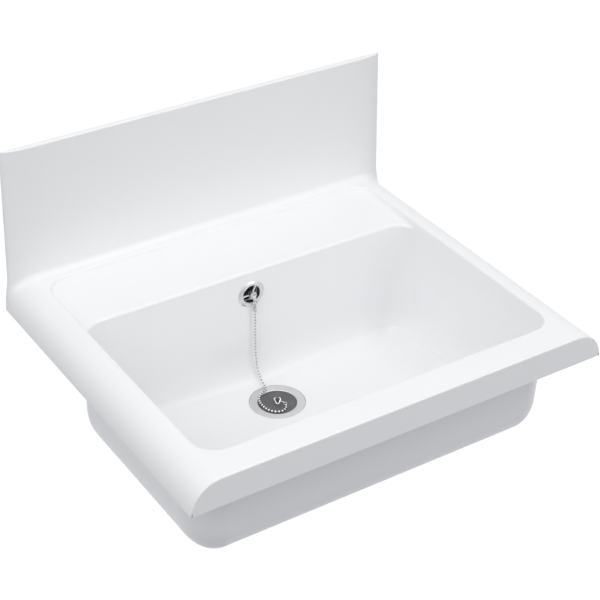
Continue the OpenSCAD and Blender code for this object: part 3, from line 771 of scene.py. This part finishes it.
cast_white, nodes, links, surface = new_finish("cast_white")
skin = placed_group(nodes, grain_group, drift_scale=9.0, grain_scale=620.0)
both = two_masks(nodes, links, skin.outputs["Drift"], skin.outputs["Grain"], 0.7)
shaded_between(nodes, links, both, (0.900, 0.905, 0.915), (0.954, 0.959, 0.970),
               surface.inputs["Base Color"])
ranged(nodes, links, skin.outputs["Drift"], 0.26, 0.32, surface.inputs["Roughness"])
ripple = placed_group(nodes, grain_group, drift_scale=130.0, grain_scale=420.0)
raised(nodes, links, two_masks(nodes, links, ripple.outputs["Drift"], ripple.outputs["Grain"], 0.5),
       0.15, 0.0001, surface.inputs["Normal"])
body.data.materials.clear()
body.data.materials.append(cast_white)
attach(body, "sink")
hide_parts("sink_body")

# ---- Fixing bushes: two nylon top-hat bushes in the web's bolt holes ------------------
# Injection moulded in undyed nylon. They keep the wall bolts off the cast body.


def dressed(node_name, finish):
    """Gives a CAD node its own finish."""
    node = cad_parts[node_name]
    node.data.materials.clear()
    node.data.materials.append(finish)


def moulded_finish(name, drift_scale, grain_scale, shades, roughness, grain_strength):
    """A plastic or rubber as it leaves the mould: its shade drifts, and its grain stands up."""
    finish, nodes, links, surface = new_finish(name)
    skin = placed_group(nodes, grain_group, drift_scale=drift_scale, grain_scale=grain_scale)
    shaded_between(nodes, links, skin.outputs["Drift"], *shades, surface.inputs["Base Color"])
    ranged(nodes, links, skin.outputs["Grain"], *roughness, surface.inputs["Roughness"])
    raised(nodes, links, skin.outputs["Grain"], grain_strength, 0.0001, surface.inputs["Normal"])
    return finish


nylon = moulded_finish("nylon_natural", drift_scale=70.0, grain_scale=1500.0,
                       shades=((0.70, 0.67, 0.58), (0.84, 0.82, 0.75)),
                       roughness=(0.36, 0.56), grain_strength=0.3)
dressed("fixing_bushes", nylon)

# ---- Waste flange and its screw: pressed stainless steel, turned to a satin finish ----
# The flange sits in the floor's seat, and the screw draws it to the waste body below.
# The polishing lines run round the drain, as the lathe leaves them.
lathe_group, nodes, links, given, out = new_group(
    "lathe_lines", [("Line scale", 2500.0)], ["Lines"])
centred = nodes.new("ShaderNodeMapping")
centred.inputs["Location"].default_value = (0, -drain_at / 1000, 0)
links.new(nodes.new("ShaderNodeTexCoord").outputs["Object"], centred.inputs["Vector"])
flat = nodes.new("ShaderNodeVectorMath")
flat.operation = "MULTIPLY"
flat.inputs[1].default_value = (1, 1, 0)
links.new(centred.outputs[0], flat.inputs[0])
radius = nodes.new("ShaderNodeVectorMath")
radius.operation = "LENGTH"
links.new(flat.outputs[0], radius.inputs[0])
lines = nodes.new("ShaderNodeTexNoise")
lines.noise_dimensions = "1D"
lines.inputs["Detail"].default_value = 3.0
links.new(radius.outputs["Value"], lines.inputs["W"])
links.new(given.outputs["Line scale"], lines.inputs["Scale"])
links.new(lines.outputs["Fac"], out.inputs["Lines"])

satin_steel, nodes, links, surface = new_finish("satin_steel")
surface.inputs["Metallic"].default_value = 1.0
turned = placed_group(nodes, lathe_group, line_scale=2600.0)
marks = placed_group(nodes, handling, smear_scale=45.0, scratch_scale=700.0)
both = two_masks(nodes, links, turned.outputs["Lines"], marks.outputs["Smears"], 0.4)
shaded_between(nodes, links, both, (0.62, 0.62, 0.625), (0.84, 0.84, 0.845),
               surface.inputs["Base Color"])
ranged(nodes, links, turned.outputs["Lines"], 0.24, 0.44, surface.inputs["Roughness"])
raised(nodes, links, turned.outputs["Lines"], 0.35, 0.00005, surface.inputs["Normal"])
dressed("waste_flange", satin_steel)
dressed("waste_screw", satin_steel)

# ---- Seals: black rubber rings, under the flange, over the waste body and at the joints
# Cut from sheet or moulded. A pale bloom lies on the rubber here and there.
black_rubber = moulded_finish("black_rubber", drift_scale=120.0, grain_scale=1800.0,
                              shades=((0.018, 0.018, 0.019), (0.06, 0.06, 0.062)),
                              roughness=(0.5, 0.8), grain_strength=0.4)
for name in ("flange_seal", "body_seal", "overflow_seal", "hose_seals"):
    dressed(name, black_rubber)

# ---- Waste body: white polypropylene, moulded in one with its inlet and threaded outlet
# The cup hangs below the drain. The thread is for the union nut of a trap.
white_plastic = moulded_finish("white_plastic", drift_scale=30.0, grain_scale=1100.0,
                               shades=((0.74, 0.74, 0.72), (0.86, 0.86, 0.845)),
                               roughness=(0.30, 0.46), grain_strength=0.25)
dressed("waste_body", white_plastic)

thread_pitch = 2.309
thread_turns = 9
thread_foot = -247.5
thread_root = 23.7
thread_crest = 24.5
root_flat = 0.15
steps_a_turn = 72
deselect()
bpy.ops.mesh.primitive_circle_add(vertices=3, radius=0.001, fill_type="NOTHING",
                                  location=(0, drain_at / 1000, 0))
thread = added("outlet_thread")
section = [(thread_root, root_flat), (thread_crest, thread_pitch / 2),
           (thread_root, thread_pitch - root_flat)]
for v, (r, z) in zip(thread.data.vertices, section):
    v.co = (r / 1000, 0, (thread_foot + z) / 1000)
turn = thread.modifiers.new("turn", "SCREW")
turn.axis = "Z"
turn.angle = math.radians(360)
turn.iterations = thread_turns
turn.screw_offset = thread_pitch / 1000
turn.steps = steps_a_turn
turn.render_steps = steps_a_turn
bpy.ops.object.modifier_apply(modifier=turn.name)
place_applied(thread)
bpy.ops.object.mode_set(mode="EDIT")
bpy.ops.mesh.select_all(action="SELECT")
bpy.ops.mesh.remove_doubles(threshold=1e-6)
bpy.ops.mesh.select_all(action="DESELECT")
bpy.ops.mesh.select_non_manifold()
bpy.ops.mesh.fill_holes(sides=4)
bpy.ops.mesh.select_all(action="SELECT")
bpy.ops.mesh.normals_make_consistent(inside=False)
bpy.ops.object.mode_set(mode="OBJECT")
bpy.ops.object.shade_smooth_by_angle(angle=math.radians(30))
thread.data.materials.append(white_plastic)
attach(thread, "sink")

# ---- Brass inserts: hexagonal nuts pressed into the two hubs --------------------------
# Turned from bar. The screws from inside the bowl run into them.
brass, nodes, links, surface = new_finish("brass")
surface.inputs["Metallic"].default_value = 1.0
marks = placed_group(nodes, handling, smear_scale=160.0, scratch_scale=1800.0)
shaded_between(nodes, links, marks.outputs["Smears"], (0.50, 0.34, 0.13), (0.82, 0.63, 0.31),
               surface.inputs["Base Color"])
ranged(nodes, links, marks.outputs["Scratches"], 0.20, 0.42, surface.inputs["Roughness"])
dressed("waste_insert", brass)
dressed("overflow_insert", brass)

# ---- Overflow rosette, screw, chain stay, clasp and end coupling: chromed trim --------
# The rosette is a domed pressing. Its screw holds the stay, and the clasp hangs from that.
chrome_trim, nodes, links, surface = new_finish("chrome_trim")
surface.inputs["Metallic"].default_value = 1.0
marks = placed_group(nodes, handling, smear_scale=180.0, scratch_scale=1600.0)
shaded_between(nodes, links, marks.outputs["Smears"], (0.68, 0.68, 0.69), (0.84, 0.84, 0.85),
               surface.inputs["Base Color"])
ranged(nodes, links, marks.outputs["Scratches"], 0.20, 0.34, surface.inputs["Roughness"])
dressed("overflow_rosette", chrome_trim)

# The small pieces have painted reflections: smears with steep edges put light and dark patches into
# their colour
small_chrome, nodes, links, surface = new_finish("small_chrome")
surface.inputs["Metallic"].default_value = 1.0
marks = placed_group(nodes, handling, smear_scale=420.0, scratch_scale=2000.0)
painted_reflection_patches = nodes.new("ShaderNodeMapRange")
painted_reflection_patches.interpolation_type = "SMOOTHSTEP"
painted_reflection_patches.inputs["From Min"].default_value = 0.32
painted_reflection_patches.inputs["From Max"].default_value = 0.68
links.new(marks.outputs["Smears"], painted_reflection_patches.inputs["Value"])
# Painted reflection: the base colour jumps between dark and light patches
shaded_between(nodes, links, painted_reflection_patches.outputs["Result"], (0.42, 0.42, 0.43), (0.84, 0.84, 0.85),
               surface.inputs["Base Color"])
ranged(nodes, links, marks.outputs["Scratches"], 0.05, 0.16, surface.inputs["Roughness"])
for name in ("overflow_screw", "chain_stay", "top_clasp", "end_coupling"):
    dressed(name, small_chrome)

# ---- Overflow elbow: black polypropylene housing behind the bowl's back wall ----------
# Moulded, with three ribs inside that carry the brass nut.
black_plastic = moulded_finish("black_plastic", drift_scale=40.0, grain_scale=1300.0,
                               shades=((0.20, 0.20, 0.204), (0.29, 0.29, 0.295)),
                               roughness=(0.50, 0.68), grain_strength=0.3)
dressed("overflow_elbow", black_plastic)

# ---- Overflow hose: corrugated grey polypropylene, with a plain cuff at each end ------
# It drops from the elbow, bends and runs into the waste body, held by two union nuts.
hose_crest = 11.4
hose_valley = 10.0
hose_bore_r = 8.0
hose_bend = 45.0
hose_top, hose_level = -82.0, -195.0
hose_back, hose_end = -66.0, -122.0
cuff = 12.0
wave_pitch = 4.4
steps_a_wave = 8
sides = 40


def hose_spot(s):
    """Place on the hose's middle line, and the direction across it in its plane."""
    down = hose_top - (hose_level + hose_bend)
    bend = math.pi / 2 * hose_bend
    if s <= down:
        return (0, hose_back, hose_top - s), (0, 1, 0)
    if s <= down + bend:
        a = (s - down) / hose_bend
        return ((0, hose_back - hose_bend + hose_bend * math.cos(a),
                 hose_level + hose_bend - hose_bend * math.sin(a)), (0, math.cos(a), -math.sin(a)))
    return (0, hose_back - hose_bend - (s - down - bend), hose_level), (0, 0, -1)


hose_length = ((hose_top - hose_level - hose_bend) + math.pi / 2 * hose_bend
               + (hose_back - hose_bend - hose_end))
wavy = hose_length - 2 * cuff
waves = int(wavy / wave_pitch)
stops = [(s, hose_crest) for s in (0, cuff * 0.5, cuff)]
for k in range(1, waves * steps_a_wave):
    share = k / (waves * steps_a_wave)
    swell = 0.5 + 0.5 * math.cos(2 * math.pi * waves * share)
    stops.append((cuff + wavy * share,
                  hose_valley + (hose_crest - hose_valley) * smooth(swell)))
stops += [(hose_length - s, hose_crest) for s in (cuff, cuff * 0.5, 0)]


def tube_ring(s, r):
    (x, y, z), (_, ay, az) = hose_spot(s)
    ring = []
    for k in range(sides):
        a = 2 * math.pi * k / sides
        ring.append((x + r * math.sin(a), y + r * math.cos(a) * ay, z + r * math.cos(a) * az))
    return ring


hose = lofted("corrugated_hose", [tube_ring(s, r) for s, r in stops])
bore = lofted("hose_bore", [tube_ring(-1 + (hose_length + 2) * k / 24, hose_bore_r)
                            for k in range(25)])
combine(hose, bore, "DIFFERENCE")
make_active(hose)
bpy.ops.object.shade_smooth_by_angle(angle=math.radians(50))

# How deep in a valley each point lies, from 0 on the crests to 1; the colour is darker towards the
# valleys
valleys = hose.data.attributes.new("valley", "FLOAT", "POINT")
for v, item in zip(hose.data.vertices, valleys.data):
    x, y, z = (c * 1000 for c in v.co)
    if z > hose_level + hose_bend:
        aside = y - hose_back
    elif y > hose_back - hose_bend:
        aside = math.hypot(y - hose_back + hose_bend, z - hose_level - hose_bend) - hose_bend
    else:
        aside = z - hose_level
    depth_in = hose_crest - math.hypot(x, aside)
    item.value = min(1, max(0, depth_in / (hose_crest - hose_valley)))

grey_plastic, nodes, links, surface = new_finish("grey_plastic")
skin = placed_group(nodes, grain_group, drift_scale=50.0, grain_scale=1200.0)
valley_depth = nodes.new("ShaderNodeAttribute")
valley_depth.attribute_name = "valley"
# Darker and rougher towards the valleys, with a random drift mixed in
both = two_masks(nodes, links, valley_depth.outputs["Fac"], skin.outputs["Drift"], 0.35)
shaded_between(nodes, links, both, (0.52, 0.53, 0.54), (0.30, 0.305, 0.31),
               surface.inputs["Base Color"])
ranged(nodes, links, both, 0.34, 0.62, surface.inputs["Roughness"])
raised(nodes, links, skin.outputs["Grain"], 0.25, 0.0001, surface.inputs["Normal"])
hose.data.materials.clear()
hose.data.materials.append(grey_plastic)
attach(hose, "sink")
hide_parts("overflow_hose")

# ---- Union nuts of the hose: eight-sided, white polypropylene -------------------------
# Each slips over a hose end and draws it onto the spout. Their moulded edges are eased.
nut_edge = 0.0006
for node_name in ("hose_nut_upper", "hose_nut_lower"):
    nut = bpy.data.objects.new(node_name + "_eased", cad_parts[node_name].data.copy())
    bpy.context.scene.collection.objects.link(nut)
    make_active(nut)
    bpy.ops.object.mode_set(mode="EDIT")
    bpy.ops.mesh.select_all(action="SELECT")
    bpy.ops.mesh.remove_doubles(threshold=2e-6)
    bpy.ops.mesh.dissolve_limited(angle_limit=math.radians(1))
    bpy.ops.object.mode_set(mode="OBJECT")
    ease = nut.modifiers.new("ease", "BEVEL")
    ease.width = nut_edge
    ease.segments = 3
    ease.limit_method = "ANGLE"
    ease.angle_limit = math.radians(35)
    bpy.ops.object.modifier_apply(modifier=ease.name)
    bpy.ops.object.shade_smooth_by_angle(angle=math.radians(40))
    nut.data.materials.clear()
    nut.data.materials.append(white_plastic)
    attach(nut, "sink")
    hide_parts(node_name)

# ---- Plug: grey rubber, tapered to fit the flange, hollow below, with a lug on top ----
# Moulded in one, with fine pale specks of filler in the rubber.
grey_rubber, nodes, links, surface = new_finish("grey_rubber")
skin = placed_group(nodes, grain_group, drift_scale=60.0, grain_scale=850.0)
both = two_masks(nodes, links, skin.outputs["Drift"], skin.outputs["Grain"], 0.6)
shaded_between(nodes, links, both, (0.030, 0.030, 0.031), (0.215, 0.215, 0.218),
               surface.inputs["Base Color"])
ranged(nodes, links, skin.outputs["Grain"], 0.45, 0.7, surface.inputs["Roughness"])
raised(nodes, links, skin.outputs["Grain"], 0.3, 0.0001, surface.inputs["Normal"])
dressed("plug", grey_rubber)

# ---- Wire link: stainless wire bent to a triangle, its base turning in the plug's lug -
# A ring of the torus primitive is laid along the bent wire at each of its points.
wire_r = 0.8
wire_sides = 16
link_base, link_reach, link_corner = 9.4, 10.6, 1.6
link_place = (0.0004, (drain_at + 0.8) / 1000, -0.1632)
link_heading, link_lean = math.radians(-29 + 180), math.radians(-27)


def wire_arc(cx, cy, a, b, steps):
    angles = [math.radians(a + (b - a) * k / steps) for k in range(steps + 1)]
    return [(cx + link_corner * math.cos(t), cy + link_corner * math.sin(t)) for t in angles]


side_a = math.degrees(math.atan2(link_reach, link_base / 2))
corner_x = link_base / 2 - link_corner / math.tan(math.radians(side_a / 2))
nose_y = link_reach - link_corner / math.sin(math.radians(90 - side_a))
half_loop = wire_arc(corner_x, link_corner, -90, 90 - side_a, 10)
half_loop += wire_arc(0, nose_y, 90 - side_a, 90, 6)
loop = half_loop + [(-x, y) for x, y in reversed(half_loop[:-1])]
laid = (Matrix.Translation(link_place) @ Matrix.Rotation(link_heading, 4, "Z")
        @ Matrix.Rotation(link_lean, 4, "X"))
deselect()
bpy.ops.mesh.primitive_torus_add(major_segments=len(loop), minor_segments=wire_sides,
                                 major_radius=0.01, minor_radius=0.001)
link = added("wire_link")
for i, (x, y) in enumerate(loop):
    before, after = Vector(loop[i - 1]), Vector(loop[(i + 1) % len(loop)])
    ahead = (after - before).normalized()
    for k in range(wire_sides):
        a = 2 * math.pi * k / wire_sides
        off = wire_r * math.cos(a)
        spot = Vector((x + ahead.y * off, y - ahead.x * off, wire_r * math.sin(a))) / 1000
        link.data.vertices[i * wire_sides + k].co = laid @ spot
make_active(link)
bpy.ops.object.mode_set(mode="EDIT")
bpy.ops.mesh.select_all(action="SELECT")
bpy.ops.mesh.normals_make_consistent(inside=False)
bpy.ops.object.mode_set(mode="OBJECT")
bpy.ops.object.shade_smooth()

steel_wire, nodes, links, surface = new_finish("steel_wire")
surface.inputs["Metallic"].default_value = 1.0
marks = placed_group(nodes, handling, smear_scale=220.0, scratch_scale=2600.0)
shaded_between(nodes, links, marks.outputs["Scratches"], (0.66, 0.66, 0.67), (0.86, 0.86, 0.87),
               surface.inputs["Base Color"])
ranged(nodes, links, marks.outputs["Smears"], 0.10, 0.26, surface.inputs["Roughness"])
link.data.materials.append(steel_wire)
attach(link, "link")
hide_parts("plug_link")
